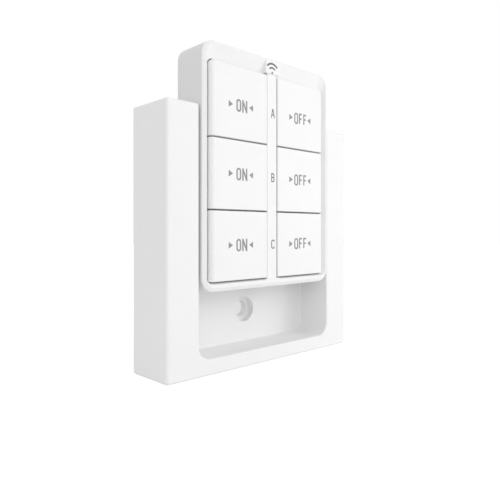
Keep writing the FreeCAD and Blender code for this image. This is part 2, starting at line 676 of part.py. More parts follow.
def cut_battery_hole(body):
    """Stepped round hole for the battery cap, with notches for its three lugs."""
    recess = new_sketch(body, "cap_recess", "cap_skin")
    circle(recess, "0", CELL_UP, "cap_diameter + 2 * cap_play")
    pocket(body, recess, "cap_skin + cut_margin")
    hole = new_sketch(body, "cap_hole", "rear_skin")
    circle(hole, "0", CELL_UP, "cap_ring + 2 * cap_play")
    pocket(body, hole, "rear_skin + cut_margin")
    notch = new_sketch(body, "lug_notch", "rear_skin", up=CELL_UP)
    half = "( cap_lug_width / 2 + cap_play )"
    rectangle(notch, "- " + half, "- ( cap_ring / 2 + cap_lug + cap_play )", half, "- cap_ring / 2")
    repeat_round(body, pocket(body, notch, "rear_skin"), (notch, ["N_Axis"]))


# Battery cap: turned by a coin, held by three lugs behind the rear cover's ledge

def make_battery_cap():
    """The cap's own frame has its middle on the cell's axis."""
    body = new_body("battery_cap")
    bind(body, "Placement.Base.z", REMOTE_Z + " + " + CELL_UP)
    disc = new_sketch(body, "disc")
    circle(disc, "0", "0", "cap_diameter")
    pad(body, disc, "cap_skin")
    soften(body, "edge", "cap_edge", lambda edge: at_forward(edge, 0), "Chamfer")
    ring = new_sketch(body, "ring", "cap_skin")
    circle(ring, "0", "0", "cap_ring")
    circle(ring, "0", "0", "cap_ring - 2 * cap_ring_wall")
    pad(body, ring, "cap_ring_height")
    lug = new_sketch(body, "lug", "cap_skin + cap_ring_height")
    rectangle(lug, "- cap_lug_width / 2", "cap_ring / 2 - cap_ring_wall / 2", "cap_lug_width / 2",
              "cap_ring / 2 + cap_lug")
    repeat_round(body, pad(body, lug, "cap_lug_height", forward=False), (lug, ["N_Axis"]))
    slot = new_sketch(body, "coin_slot", "coin_slot_depth")
    rounded_rectangle(slot, "- coin_slot_length / 2", "- coin_slot_width / 2", "coin_slot_length / 2",
                      "coin_slot_width / 2", ["coin_slot_corner"] * 4)
    pocket(body, slot, "coin_slot_depth + cut_margin")
    return body


# Keys

def make_key(name, sign, row):
    """A key cap with a rolled outer edge, a post for its switch and two snap hooks."""
    body = new_body("key_%s_%s" % (name, ROWS[row]))
    prefix = "- " if sign < 0 else ""
    edges = sorted([prefix + KEY_INNER, prefix + KEY_OUTER], key=value)
    top_row = row == len(ROWS) - 1
    foot = "( %s + %s * %d )" % (KEY_FOOT, KEY_PITCH, row)
    top = "( %s + %s * %d - key_gap )" % (KEY_FOOT, KEY_PITCH, row + 1)
    if top_row:
        top = "( " + WELL_TOP + " - key_top_gap )"
    block = new_sketch(body, "block", KEY_REAR)
    rectangle(block, edges[0], foot, edges[1], top)
    pad(body, block, KEY_FRONT + " - " + KEY_REAR)
    outer_x = sign * value(KEY_OUTER)
    top_z = value(top)

    def corner(edge):
        middle = edge.BoundBox.Center
        return runs_along_y(edge) and near(middle.x, outer_x) and near(middle.z, top_z)

    if top_row:
        soften(body, "top_corner", "well_top_corner - rim_slope - key_side_gap", corner)
    front = value(KEY_FRONT)

    def outside(edge):
        box = edge.BoundBox
        beside = near(box.XMin if sign < 0 else box.XMax, outer_x) and box.ZLength > NEAR
        above = top_row and near(box.ZMax, top_z) and box.XLength > NEAR
        return at_forward(edge, front) and (beside or above)

    def plain(edge):
        return at_forward(edge, front) and not outside(edge) and is_outline(edge, edges, foot, top)

    soften(body, "roll", "key_roll", outside)
    soften(body, "edge", "key_edge", plain)
    under = new_sketch(body, "under", KEY_REAR)
    rectangle(under, edges[0] + " + key_skirt", foot + " + key_skirt",
              edges[1] + " - key_skirt", top + " - key_skirt")
    pocket(body, under, KEY_FRONT + " - " + KEY_REAR + " - key_skin", forward=True)
    add_post_and_hooks(body, prefix + KEY_MIDDLE, row_middle(row))
    return body


def is_outline(edge, edges, foot, top):
    """True for an edge that runs along the key's straight inner or row side."""
    box = edge.BoundBox
    beside = near(box.XMin, value(edges[0])) or near(box.XMax, value(edges[1]))
    across = near(box.ZMin, value(foot)) or near(box.ZMax, value(top))
    return box.XLength < NEAR and beside or box.ZLength < NEAR and across


def add_post_and_hooks(body, middle, height):
    skin_rear = "( " + KEY_FRONT + " - key_skin )"
    post = new_sketch(body, "post", skin_rear)
    circle(post, middle, height, "post_diameter")
    pad(body, post, skin_rear + " - " + PLUNGER_TIP, forward=False)
    barb_front = "( " + DECK_REAR + " - hook_play )"
    arms = new_sketch(body, "arms", skin_rear)
    barbs = new_sketch(body, "barbs", barb_front)
    low = height + " - hook_width / 2"
    high = height + " + hook_width / 2"
    for outward in (-1, 1):
        reach = "%s + %d * ( %s" % (middle, outward, HOOK_REACH)
        inside = reach + " - hook_thickness / 2 )"
        outside = reach + " + hook_thickness / 2 )"
        tip = reach + " + hook_thickness / 2 + hook_barb )"
        ends = sorted([inside, outside], key=value)
        rectangle(arms, ends[0], low, ends[1], high)
        ends = sorted([inside, tip], key=value)
        rectangle(barbs, ends[0], low, ends[1], high)
    pad(body, arms, skin_rear + " - " + barb_front + " + hook_head / 2", forward=False)
    pad(body, barbs, "hook_head", forward=False)


# Push switches: housing on the board, plunger under the key's post

def switch_places():
    for name, sign in COLUMNS:
        for row in range(len(ROWS)):
            yield ("- " if sign < 0 else "") + KEY_MIDDLE, row_middle(row)


def make_switch_bodies():
    body = new_body("switch_bodies")
    body.AllowCompound = True
    blocks = new_sketch(body, "blocks", BOARD_FRONT)
    bores = new_sketch(body, "bores", BOARD_FRONT + " + switch_height")
    half = "switch_side / 2"
    for x, z in switch_places():
        rectangle(blocks, x + " - " + half, z + " - " + half, x + " + " + half, z + " + " + half)
        circle(bores, x, z, "plunger_diameter + 2 * plunger_play")
    pad(body, blocks, "switch_height")
    soften(body, "corners", "switch_corner", runs_along_y, "Chamfer")
    pocket(body, bores, "plunger_length - plunger_proud + key_travel + plunger_room")


def make_plunger(name, sign, row):
    body = new_body("plunger_%s_%s" % (name, ROWS[row]))
    stem = new_sketch(body, "stem", PLUNGER_TIP + " - plunger_length")
    circle(stem, ("- " if sign < 0 else "") + KEY_MIDDLE, row_middle(row), "plunger_diameter")
    pad(body, stem, "plunger_length")
    tip = value(PLUNGER_TIP)
    soften(body, "bevel", "plunger_bevel", lambda edge: at_forward(edge, tip), "Chamfer")


# Circuit board and what it carries

def make_circuit_board():
    body = new_body("circuit_board")
    outline = new_sketch(body, "outline", "board_rear")
    case_outline(outline, "( case_wall + board_play )")
    pad(body, outline, "board_thickness")
    holes = new_sketch(body, "boss_holes", "board_rear + board_thickness")
    for x, z in boss_places():
        circle(holes, x, z, "boss_slim + 2 * boss_play")
    pocket(body, holes, "board_thickness + cut_margin")


def make_encoder_chip():
    body = new_body("encoder_chip")
    block = new_sketch(body, "block", BOARD_FRONT)
    rectangle(block, "- chip_width / 2", "chip_up - chip_length / 2", "chip_width / 2",
              "chip_up + chip_length / 2")
    pad(body, block, "chip_height")
    leads = new_sketch(body, "leads", BOARD_FRONT)
    count = int(value("chip_leads"))
    for i in range(count):
        low = "chip_up + %g * chip_lead_pitch - chip_lead_width / 2" % (i - (count - 1) / 2)
        high = low + " + chip_lead_width"
        rectangle(leads, "chip_width / 2", low, "chip_width / 2 + chip_lead_reach", high)
        rectangle(leads, "- chip_width / 2 - chip_lead_reach", low, "- chip_width / 2", high)
    pad(body, leads, "chip_lead_height")


def make_transmitter_can():
    body = new_body("transmitter_can")
    block = new_sketch(body, "block", BOARD_FRONT)
    middle = "( remote_height - can_drop )"
    rectangle(block, "- can_width / 2", middle + " - can_length / 2", "can_width / 2",
              middle + " + can_length / 2")
    pad(body, block, "can_height")
    soften(body, "corners", "can_edge", runs_along_y)
    front = value(BOARD_FRONT + " + can_height")
    soften(body, "edge", "can_edge / 2", lambda edge: at_forward(edge, front))


def make_crystal():
    body = new_body("crystal")
    block = new_sketch(body, "block", BOARD_FRONT)
    middle = "( remote_height - crystal_drop )"
    rounded_rectangle(block, "- crystal_length / 2", middle + " - crystal_width / 2",
                      "crystal_length / 2", middle + " + crystal_width / 2", ["crystal_corner"] * 4)
    pad(body, block, "crystal_height")


def make_loop_antenna():
    """A round wire that rises from the board, runs across and goes back down."""
    body = new_body("loop_antenna")
    ring = new_sketch(body, "section", BOARD_FRONT)
    height = "( remote_height - antenna_drop )"
    circle(ring, "- antenna_span / 2", height, "antenna_wire")
    path = new_sketch(body, "path", height, role="XY_Plane")
    side = value("antenna_span / 2")
    foot = -value(BOARD_FRONT)
    bend = value("antenna_bend")
    crest = foot - value("antenna_rise - antenna_wire / 2")
    path.addGeometry(Part.LineSegment(V(-side, foot, 0), V(-side, crest + bend, 0)), False)
    left = Part.Circle(V(bend - side, crest + bend, 0), V(0, 0, 1), bend)
    path.addGeometry(Part.ArcOfCircle(left, math.pi, 1.5 * math.pi), False)
    path.addGeometry(Part.LineSegment(V(bend - side, crest, 0), V(side - bend, crest, 0)), False)
    right = Part.Circle(V(side - bend, crest + bend, 0), V(0, 0, 1), bend)
    path.addGeometry(Part.ArcOfCircle(right, 1.5 * math.pi, 2 * math.pi), False)
    path.addGeometry(Part.LineSegment(V(side, crest + bend, 0), V(side, foot, 0)), False)
    joins = [(0, 2, 1, 1), (1, 2, 2, 1), (2, 2, 3, 1), (3, 2, 4, 1)]
    for join in joins:
        path.addConstraint(Sketcher.Constraint("Tangent", *join))
    for line, direction in ((0, "Vertical"), (2, "Horizontal"), (4, "Vertical")):
        path.addConstraint(Sketcher.Constraint(direction, line))
    for arc in (1, 3):
        index = path.addConstraint(Sketcher.Constraint("Radius", arc, bend))
        path.setExpression("Constraints[%d]" % index, size("antenna_bend"))
    drive(path, "DistanceX", 0, 1, "- antenna_span / 2")
    drive(path, "DistanceY", 0, 1, "- " + BOARD_FRONT)
    drive(path, "DistanceY", 2, 1, "- ( " + BOARD_FRONT + " + antenna_rise - antenna_wire / 2 )")
    drive(path, "DistanceX", 4, 2, "antenna_span / 2")
    drive(path, "DistanceY", 4, 2, "- " + BOARD_FRONT)
    doc.recompute()
    wire = body.newObject("PartDesign::AdditivePipe", "loop_antenna_wire")
    wire.Profile = ring
    wire.Spine = path
    doc.recompute()


# Coin cell, its holder and contacts

def make_coin_cell():
    body = new_body("coin_cell")
    can = new_sketch(body, "can", "cell_rear")
    circle(can, "0", CELL_UP, "cell_diameter")
    pad(body, can, "cell_height - cell_step")
    rear = value("cell_rear")
    soften(body, "edge", "cell_edge", lambda edge: at_forward(edge, rear))
    step = new_sketch(body, "step", "cell_rear + cell_height - cell_step")
    circle(step, "0", CELL_UP, "cell_diameter - 2 * cell_step_width")
    pad(body, step, "cell_step")


def make_cell_holder():
    body = new_body("cell_holder")
    rear = "( cap_skin + cap_ring_height + ring_gap )"
    ring = new_sketch(body, "ring", rear)
    circle(ring, "0", CELL_UP, "cell_diameter + 2 * cell_play")
    circle(ring, "0", CELL_UP, "cell_diameter + 2 * cell_play + 2 * holder_ring_wall")
    pad(body, ring, "board_rear - " + rear)
    mouth = new_sketch(body, "mouth", "board_rear")
    rectangle(mouth, "- holder_mouth / 2", CELL_UP, "holder_mouth / 2",
              CELL_UP + " + cell_diameter / 2 + cell_play + holder_ring_wall + cut_margin")
    pocket(body, mouth, "board_rear - " + rear + " + cut_margin")


def make_contact(name, points):
    """A folded strip: its section, seen from the side, over the contact's width."""
    body = new_body(name)
    section = new_sketch(body, "section", "- contact_width / 2", role="YZ_Plane")
    polygon(section, points)
    strip = body.newObject("PartDesign::Pad", name + "_strip")
    strip.Profile = section
    bind(strip, "Length", "contact_width")
    doc.recompute()


def make_contacts():
    board = "- board_rear"
    foot = "- ( board_rear - contact_thickness )"
    arch = "- ( cell_rear + cell_height )"
    under_arch = "- ( cell_rear + cell_height + contact_thickness )"
    low = CELL_UP + " - contact_span / 2"
    high = CELL_UP + " + contact_span / 2"
    inner_low = low + " + contact_foot"
    inner_high = high + " - contact_foot"
    ramp = "( board_rear - cell_rear - cell_height )"
    make_contact("negative_contact", [
        (board, low), (foot, low), (foot, inner_low), (arch, inner_low + " + " + ramp),
        (arch, inner_high + " - " + ramp), (foot, inner_high), (foot, high), (board, high),
        (board, inner_high + " - contact_thickness"),
        (under_arch, inner_high + " - " + ramp + " - contact_thickness"),
        (under_arch, inner_low + " + " + ramp + " + contact_thickness"),
        (board, inner_low + " + contact_thickness")])
    near_cell = CELL_UP + " + cell_diameter / 2 + contact_gap"
    away = near_cell + " + contact_thickness"
    end = near_cell + " + contact_thickness + contact_foot"
    tip = "- ( cap_skin + cap_ring_height + ring_gap )"
    make_contact("positive_contact", [
        (board, near_cell), (tip, near_cell), (tip, away), (foot, away), (foot, end), (board, end)])


# Case screws: four alike

def make_case_screws():
    body = new_body("case_screws")
    body.AllowCompound = True
    heads = new_sketch(body, "heads", "screw_sink")
    shanks = new_sketch(body, "shanks", SCREW_SEAT)
    for x, z in boss_places():
        circle(heads, x, z, "screw_head")
        circle(shanks, x, z, "screw_shank")
    pad(body, heads, "screw_head_height")
    rear = value("screw_sink")
    soften(body, "head_edge", "screw_head_edge", lambda edge: at_forward(edge, rear))
    pad(body, shanks, "screw_length")


# Build, check and write every piece

make_wall_holder()
make_front_cover()
make_rear_cover()
make_battery_cap()
for name, sign in COLUMNS:
    for row in range(len(ROWS)):
        make_key(name, sign, row)
        make_plunger(name, sign, row)
make_switch_bodies()
make_circuit_board()
make_encoder_chip()
make_transmitter_can()
make_crystal()
make_loop_antenna()
make_coin_cell()
make_cell_holder()
make_contacts()
make_case_screws()

doc.recompute()
problems = [item.Name for item in doc.Objects if "Invalid" in item.State or "Error" in item.State]
if problems:
    raise ValueError("failed objects: " + ", ".join(problems))

os.makedirs("parts", exist_ok=True)
for piece in [item for item in doc.Objects if item.isDerivedFrom("PartDesign::Body")]:
    shape = piece.Shape
    if shape.isNull() or not shape.isValid():
        raise ValueError("bad shape: " + piece.Label)
    shape.exportStep("parts/%s.step" % piece.Label)
    box = shape.BoundBox
    print("%-18s %9.2f mm3  %d solid(s)  X %.2f %.2f  Y %.2f %.2f  Z %.2f %.2f" % (
        piece.Label, shape.Volume, len(shape.Solids), box.XMin, box.XMax, box.YMin, box.YMax,
        box.ZMin, box.ZMax))
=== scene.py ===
import bmesh
import bpy
import json
import math
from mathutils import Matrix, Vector


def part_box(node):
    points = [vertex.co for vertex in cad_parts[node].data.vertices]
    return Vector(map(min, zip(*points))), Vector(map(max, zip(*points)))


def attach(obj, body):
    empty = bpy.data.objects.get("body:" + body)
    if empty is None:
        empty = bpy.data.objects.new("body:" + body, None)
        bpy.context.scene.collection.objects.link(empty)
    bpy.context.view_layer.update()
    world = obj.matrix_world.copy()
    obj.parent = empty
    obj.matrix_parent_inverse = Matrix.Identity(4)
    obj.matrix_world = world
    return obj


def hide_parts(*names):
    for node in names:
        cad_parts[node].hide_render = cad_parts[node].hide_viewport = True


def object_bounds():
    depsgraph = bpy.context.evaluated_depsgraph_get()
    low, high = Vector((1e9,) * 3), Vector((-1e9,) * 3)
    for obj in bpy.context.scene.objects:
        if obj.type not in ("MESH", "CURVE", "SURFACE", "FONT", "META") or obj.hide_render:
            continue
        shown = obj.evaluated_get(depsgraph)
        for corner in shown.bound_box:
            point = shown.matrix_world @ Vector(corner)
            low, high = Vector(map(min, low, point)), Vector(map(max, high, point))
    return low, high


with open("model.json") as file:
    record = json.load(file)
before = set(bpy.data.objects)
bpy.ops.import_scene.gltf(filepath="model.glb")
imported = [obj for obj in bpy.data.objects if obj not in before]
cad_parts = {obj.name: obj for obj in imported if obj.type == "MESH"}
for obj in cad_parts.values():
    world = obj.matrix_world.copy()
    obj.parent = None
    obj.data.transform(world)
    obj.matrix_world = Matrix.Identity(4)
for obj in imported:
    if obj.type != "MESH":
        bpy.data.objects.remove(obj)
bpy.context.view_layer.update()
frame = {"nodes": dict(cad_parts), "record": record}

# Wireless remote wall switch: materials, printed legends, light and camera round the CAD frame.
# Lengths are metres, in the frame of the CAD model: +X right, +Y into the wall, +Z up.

MM = 0.001
NODES = frame["nodes"]


# Material helpers

def new_material(name, colour, roughness, metallic=0.0):
    """A material with its shader, ready for textures."""
    material = bpy.data.materials.new(name)
    material.use_nodes = True
    shader = material.node_tree.nodes["Principled BSDF"]
    shader.inputs["Base Color"].default_value = (*colour, 1)
    shader.inputs["Roughness"].default_value = roughness
    shader.inputs["Metallic"].default_value = metallic
    material.diffuse_color = (*colour, 1)
    return material


def add_node(material, kind, **values):
    """One node, with its inputs or its own settings given by name."""
    node = material.node_tree.nodes.new("ShaderNode" + kind)
    for name, value in values.items():
        if hasattr(node, name):
            setattr(node, name, value)
        else:
            node.inputs[name].default_value = value
    return node


def link(material, source, target):
    """Join two sockets."""
    material.node_tree.links.new(source, target)


def object_place(material, stretch=(1, 1, 1)):
    """Coordinates in metres that stay with the piece."""
    place = add_node(material, "TexCoord")
    mapping = add_node(material, "Mapping")
    mapping.inputs["Scale"].default_value = stretch
    link(material, place.outputs["Object"], mapping.inputs["Vector"])
    return mapping.outputs["Vector"]


def noise(material, place, size, detail=2.0, roughness=0.5):
    """Cloudy noise whose blobs are about size metres across."""
    node = add_node(material, "TexNoise", Scale=1 / size, Detail=detail, Roughness=roughness)
    link(material, place, node.inputs["Vector"])
    return node.outputs["Fac"]


def spread(material, source, low, high, start=0.3, end=0.7):
    """Map a noise to a range of values."""
    node = add_node(material, "MapRange")
    node.inputs["From Min"].default_value = start
    node.inputs["From Max"].default_value = end
    node.inputs["To Min"].default_value = low
    node.inputs["To Max"].default_value = high
    link(material, source, node.inputs["Value"])
    return node.outputs["Result"]


def mix_colours(material, factor, first, second):
    """Blend two colours, or sockets that carry colours."""
    node = add_node(material, "Mix", data_type="RGBA")
    link(material, factor, node.inputs["Factor"])
    for socket, colour in ((node.inputs[6], first), (node.inputs[7], second)):
        if isinstance(colour, tuple):
            socket.default_value = (*colour, 1)
        else:
            link(material, colour, socket)
    return node.outputs[2]


def calculate(material, operation, first, second=None):
    """One sum on sockets, or on a socket and a number."""
    node = add_node(material, "Math", operation=operation)
    link(material, first, node.inputs[0])
    if isinstance(second, float):
        node.inputs[1].default_value = second
    elif second is not None:
        link(material, second, node.inputs[1])
    return node.outputs[0]


def bump(material, height, depth, strength, under=None):
    """Relief of a depth in metres, on top of another relief if one is given."""
    node = add_node(material, "Bump", Strength=strength, Distance=depth)
    link(material, height, node.inputs["Height"])
    if under:
        link(material, under, node.inputs["Normal"])
    return node.outputs["Normal"]


def shade(colour, factor):
    """A colour made darker or lighter."""
    return tuple(channel * factor for channel in colour)


# Shape helpers

def add_object(name, mesh, material):
    """An object made of a bmesh, with one material."""
    data = bpy.data.meshes.new(name)
    mesh.to_mesh(data)
    mesh.free()
    data.materials.append(material)
    made = bpy.data.objects.new(name, data)
    bpy.context.scene.collection.objects.link(made)
    return made


def circle_points(centre, radius, count):
    """Points (x, z) on a circle, seen from the front."""
    return [(centre[0] + radius * math.cos(math.tau * i / count),
             centre[1] + radius * math.sin(math.tau * i / count)) for i in range(count)]


# Materials. The remote's painted shade, a darker colour for the shade on its sides and inside,
# begins behind its scoops, and behind its rim's bevel within a narrow band at its sides. Each edge
# of the painted shade has a blend.

BEHIND_SCOOP = 2.1 * MM
SCOOP_BLEND = 0.7 * MM
BEHIND_BEVEL = 0.6 * MM
WITHIN_SIDE = 1.2 * MM
SHADE_BLEND = 0.3 * MM


def painted_shade_mask(material, place):
    """A mask for the painted shade on the remote's sides and inside: all but its rim, scoops and
    strip.
    """
    low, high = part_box("front_cover")
    axes = add_node(material, "SeparateXYZ")
    link(material, place, axes.inputs["Vector"])
    depth = axes.outputs["Y"]
    scoop_end = low.y + BEHIND_SCOOP
    bevel_end = low.y + BEHIND_BEVEL
    side_start = high.x - WITHIN_SIDE
    across = calculate(material, "ABSOLUTE", axes.outputs["X"])
    inside = spread(material, depth, 0, 1, scoop_end, scoop_end + SCOOP_BLEND)
    behind_bevel = spread(material, depth, 0, 1, bevel_end, bevel_end + SHADE_BLEND)
    outer = spread(material, across, 0, 1, side_start, side_start + SHADE_BLEND)
    side = calculate(material, "MULTIPLY", behind_bevel, outer)
    return calculate(material, "MAXIMUM", inside, side)


def moulded_plastic(name, colour, roughness, grain_size, grain_depth, sheen_patch=0.05,
                    side_shade=1.0):
    """Moulded plastic: fine spark-eroded grain, a slow flow pattern and slight tone changes.

    Under 1, the side factor paints shade: it darkens the remote's sides and inside, where less
    light falls than on its front.
    """
    material = new_material(name, colour, roughness)
    shader = material.node_tree.nodes["Principled BSDF"]
    shader.inputs["IOR"].default_value = 1.5
    place = object_place(material)
    clouds = noise(material, place, 14 * MM, 3)
    specks = noise(material, place, 0.7 * MM, 2)
    tone = mix_colours(material, spread(material, clouds, 0, 1), shade(colour, 0.985), colour)
    speckled = spread(material, specks, 0, 1, 0.62, 0.8)
    tone = mix_colours(material, speckled, tone, shade(colour, 0.96))
    # Painted shade: the remote's sides and inside are darkened to stand in for shade.
    if side_shade != 1.0:
        tone = mix_colours(material, painted_shade_mask(material, place), tone, shade(colour, side_shade))
    link(material, tone, shader.inputs["Base Color"])
    patches = noise(material, place, 6 * MM, 4, 0.6)
    link(material, spread(material, patches, roughness - sheen_patch, roughness + sheen_patch),
         shader.inputs["Roughness"])
    flow = noise(material, object_place(material, (1, 1, 0.35)), 9 * MM, 1)
    grain = noise(material, place, grain_size, 3, 0.6)
    slow = bump(material, flow, 0.05 * MM, 0.25)
    link(material, bump(material, grain, grain_depth, 0.6, slow), shader.inputs["Normal"])
    return material


def printed_ink(name, colour):
    """Pad-printed ink: thin, even, with tiny pinholes in its tone and a slightly duller surface."""
    material = new_material(name, colour, 0.55)
    shader = material.node_tree.nodes["Principled BSDF"]
    place = object_place(material)
    pinholes = noise(material, place, 0.12 * MM, 2)
    coat = noise(material, place, 1.1 * MM, 2)
    coated = spread(material, coat, 0, 1)
    pierced = spread(material, pinholes, 0, 1, 0.66, 0.74)
    tone = mix_colours(material, coated, shade(colour, 0.88), shade(colour, 1.08))
    tone = mix_colours(material, pierced, tone, shade(colour, 1.6))
    link(material, tone, shader.inputs["Base Color"])
    link(material, bump(material, pinholes, 0.004 * MM, 0.4), shader.inputs["Normal"])
    return material


def metal(name, colour, roughness, brush=(1, 1, 1), brush_size=0.3 * MM, tarnish=0.85):
    """Metal with fine brush or drawing marks and cloudy tarnish."""
    material = new_material(name, colour, roughness, 1.0)
    shader = material.node_tree.nodes["Principled BSDF"]
    place = object_place(material)
    clouds = noise(material, place, 3 * MM, 4, 0.6)
    tone = mix_colours(material, spread(material, clouds, 0, 1), shade(colour, tarnish), colour)
    link(material, tone, shader.inputs["Base Color"])
    marks = noise(material, object_place(material, brush), brush_size, 3, 0.7)
    link(material, spread(material, marks, roughness * 0.8, roughness * 1.3),
         shader.inputs["Roughness"])
    link(material, bump(material, marks, 0.01 * MM, 0.5), shader.inputs["Normal"])
    return material


def board_laminate():
    """Circuit board: green solder mask over copper tracks and round pads."""
    mask = (0.012, 0.11, 0.035)
    track = (0.03, 0.19, 0.06)
    material = new_material("board_green", mask, 0.35)
    shader = material.node_tree.nodes["Principled BSDF"]
    shader.inputs["Coat Weight"].default_value = 0.3
    place = object_place(material)
    cells = add_node(material, "TexBrick", Scale=420.0)
    cells.inputs["Mortar Size"].default_value = 0.012
    cells.inputs["Brick Width"].default_value = 1.7
    cells.inputs["Row Height"].default_value = 0.55
    turned = add_node(material, "Mapping")
    turned.inputs["Rotation"].default_value = (math.radians(90), 0, 0)
    link(material, place, turned.inputs["Vector"])
    link(material, turned.outputs["Vector"], cells.inputs["Vector"])
    pads = add_node(material, "TexVoronoi", Scale=170.0)
    link(material, place, pads.inputs["Vector"])
    dots = spread(material, pads.outputs["Distance"], 1, 0, 0.09, 0.11)
    clouds = noise(material, place, 8 * MM, 3)
    tone = mix_colours(material, spread(material, clouds, 0, 1), shade(mask, 0.85), mask)
    tone = mix_colours(material, cells.outputs["Fac"], tone, track)
    tone = mix_colours(material, dots, tone, (0.72, 0.70, 0.62))
    link(material, tone, shader.inputs["Base Color"])
    link(material, bump(material, cells.outputs["Fac"], 0.03 * MM, 0.6), shader.inputs["Normal"])
    return material


WHITE = (0.90, 0.90, 0.90)

MATERIALS = {
    "holder_plastic": moulded_plastic("holder_white", WHITE, 0.55, 0.32 * MM, 0.012 * MM),
    # The case plastic carries painted shade on the remote's sides and inside.
    "case_plastic": moulded_plastic("case_white", WHITE, 0.52, 0.26 * MM, 0.010 * MM,
                                    side_shade=0.87),
    "key_plastic": moulded_plastic("key_white", WHITE, 0.50, 0.22 * MM, 0.008 * MM),
    "board_laminate": board_laminate(),
    "switch_plastic": moulded_plastic("switch_black", (0.02, 0.02, 0.022), 0.5,
                                      0.15 * MM, 0.01 * MM),
    "plunger_plastic": moulded_plastic("plunger_cream", (0.62, 0.58, 0.48), 0.45,
                                       0.15 * MM, 0.008 * MM),
    "chip_plastic": moulded_plastic("chip_black", (0.03, 0.03, 0.033), 0.62,
                                    0.09 * MM, 0.012 * MM),
    "cell_holder_plastic": moulded_plastic("cell_holder_black", (0.035, 0.035, 0.04), 0.48,
                                           0.2 * MM, 0.01 * MM),
    "can_metal": metal("can_tinned", (0.62, 0.63, 0.64), 0.3, (8, 1, 1)),
    "antenna_wire": metal("antenna_copper", (0.72, 0.36, 0.2), 0.28, (1, 8, 8), 0.2 * MM),
    "cell_steel": metal("cell_steel", (0.66, 0.66, 0.65), 0.24, (1, 1, 6)),
    "contact_metal": metal("contact_gold", (0.78, 0.62, 0.32), 0.27, (1, 1, 5)),
    "screw_steel": metal("screw_zinc", (0.58, 0.59, 0.6), 0.33, (1, 1, 1), 0.5 * MM),
}


KEY_INK = printed_ink("key_legend_grey", (0.28, 0.28, 0.285))
STRIP_INK = printed_ink("strip_legend_grey", (0.14, 0.14, 0.145))


def dress_nodes():
    """Give every CAD piece the material of its slot in the record."""
    for entry in frame["record"]["subparts"]:
        materials = NODES[entry["node"]].data.materials
        materials.clear()
        materials.append(MATERIALS[entry["material_slot"]])


# Printed legends: strokes with rounded corners, laid on the keys as thin ink. INK is its thickness
# over the surface, INK_SUNK under it, and INK_LAYER the lift of each stroke over the last.
# SHARPEST_LEAN keeps a sharp corner of a stroke from reaching far out.

INK = 0.02 * MM
INK_SUNK = 0.006 * MM
INK_LAYER = 0.002 * MM
ARC_STEPS = 6
SAME_POINT = 0.001 * MM
SHARPEST_LEAN = 0.35


def round_corners(points, closed):
    """The path of a stroke, with an arc at each corner (x, z, radius) that has a radius."""
    path = []
    count = len(points)
    for i, (x, z, radius) in enumerate(points):
        if radius == 0 or not closed and i in (0, count - 1):
            path.append((x, z))
        else:
            path.extend(corner_arc(points[i - 1], (x, z), points[(i + 1) % count], radius))
    apart = [point for point, last in zip(path, [None] + path)
             if last is None or apart_from(point, last)]
    if closed and not apart_from(apart[0], apart[-1]):
        apart.pop()
    return apart


def apart_from(point, other):
    """False where two arcs meet in one point."""
    return math.dist(point, other) > SAME_POINT


def corner_arc(before, corner, after, radius):
    """Points on the arc that touches both sides of a corner."""
    ux, uz = before[0] - corner[0], before[1] - corner[1]
    vx, vz = after[0] - corner[0], after[1] - corner[1]
    u = math.hypot(ux, uz)
    v = math.hypot(vx, vz)
    ux, uz, vx, vz = ux / u, uz / u, vx / v, vz / v
    half = math.acos(max(-1, min(1, ux * vx + uz * vz))) / 2
    reach = min(radius / math.tan(half), 0.5 * u, 0.5 * v)
    real = reach * math.tan(half)
    bx, bz = ux + vx, uz + vz
    length = math.hypot(bx, bz)
    centre = (corner[0] + bx / length * real / math.sin(half),
              corner[1] + bz / length * real / math.sin(half))
    start = math.atan2(corner[1] + uz * reach - centre[1], corner[0] + ux * reach - centre[0])
    end = math.atan2(corner[1] + vz * reach - centre[1], corner[0] + vx * reach - centre[0])
    turn = (end - start + math.pi) % (2 * math.pi) - math.pi
    return [(centre[0] + real * math.cos(start + turn * step / ARC_STEPS),
             centre[1] + real * math.sin(start + turn * step / ARC_STEPS))
            for step in range(ARC_STEPS + 1)]


def ribbon(mesh, path, width, closed, front):
    """A flat stroke of a width along a path, as faces that look forward."""
    count = len(path)
    sides = []
    for i, (x, z) in enumerate(path):
        previous = path[i - 1] if closed or i > 0 else None
        following = path[(i + 1) % count] if closed or i < count - 1 else None
        directions = []
        for a, b in ((previous, (x, z)), ((x, z), following)):
            if a is not None and b is not None:
                length = math.hypot(b[0] - a[0], b[1] - a[1])
                directions.append(((b[0] - a[0]) / length, (b[1] - a[1]) / length))
        dx = sum(item[0] for item in directions)
        dz = sum(item[1] for item in directions)
        length = math.hypot(dx, dz)
        dx, dz = dx / length, dz / length
        lean = directions[0][0] * dx + directions[0][1] * dz
        half = width / 2 / max(lean, SHARPEST_LEAN)
        sides.append((mesh.verts.new((x - dz * half, front, z + dx * half)),
                      mesh.verts.new((x + dz * half, front, z - dx * half))))
    for i in range(count if closed else count - 1):
        a, b = sides[i], sides[(i + 1) % count]
        mesh.faces.new((a[0], b[0], b[1], a[1]))


def filled(mesh, points, front):
    """A flat shape inside an outline (x, z), at one depth."""
    mesh.faces.new([mesh.verts.new((x, front, z)) for x, z in points])


def face_at(node, x, z):
    """How far forward a piece's surface lies at one place, seen from the front."""
    piece = NODES[node]
    back = piece.matrix_world.inverted()
    start = back @ Vector((x, -1, z))
    ahead = (back.to_3x3() @ Vector((0, 1, 0))).normalized()
    place = piece.ray_cast(start, ahead)[1]
    return (piece.matrix_world @ place).y


